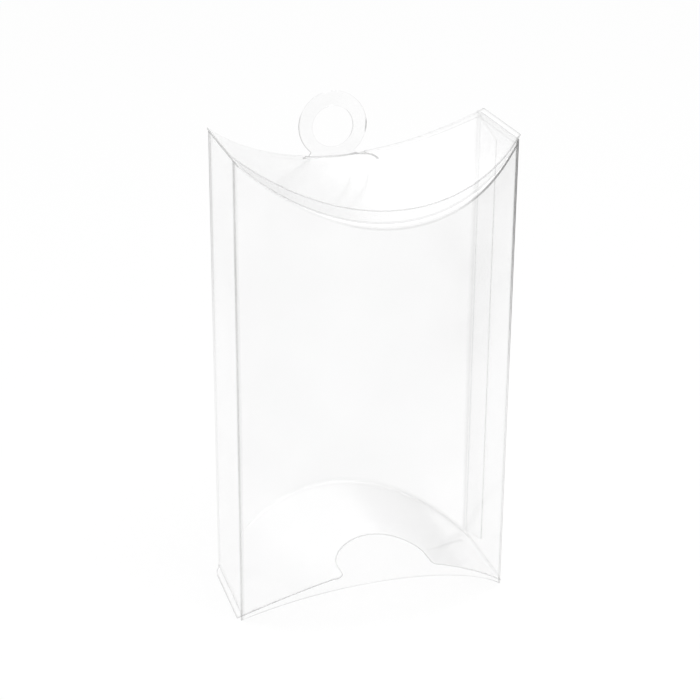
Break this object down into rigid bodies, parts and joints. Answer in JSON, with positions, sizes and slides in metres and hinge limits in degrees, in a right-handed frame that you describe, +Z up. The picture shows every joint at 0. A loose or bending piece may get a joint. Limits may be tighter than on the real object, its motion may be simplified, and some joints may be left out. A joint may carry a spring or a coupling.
{
  "type": "clear pillow box",
  "caption": "Clear film pillow box standing upright, with bulging front and back panels, flat side panels, curved end flaps and a hanging ring that stands up through a slit in the top flap.",
  "frame": {"origin": "centre of the base, at the height of the four lowest corners that the box stands on", "axes": "+Z up along the sleeve, +Y from the front panel to the back panel, +X to the right seen from the front"},
  "size_m": [0.0712, 0.0558, 0.1251],
  "materials": {
    "clear_film": "clear, glossy polyester film with a slight haze"
  },
  "bodies": {
    "sleeve": {"sleeve": "clear_film"},
    "top_flap": {"top_flap": "clear_film"},
    "bottom_flap": {"bottom_flap": "clear_film"}
  },
  "joints": [
    {"name": "top_flap_hinge", "type": "hinge", "parent": "sleeve", "child": "top_flap", "pos_m": [0, 0.02785, 0.108], "axis": [-1, 0, 0], "range_deg": [0, 50]},
    {"name": "bottom_flap_hinge", "type": "hinge", "parent": "sleeve", "child": "bottom_flap", "pos_m": [0, 0.02785, 0.0148], "axis": [1, 0, 0], "range_deg": [0, 110]}
  ]
}
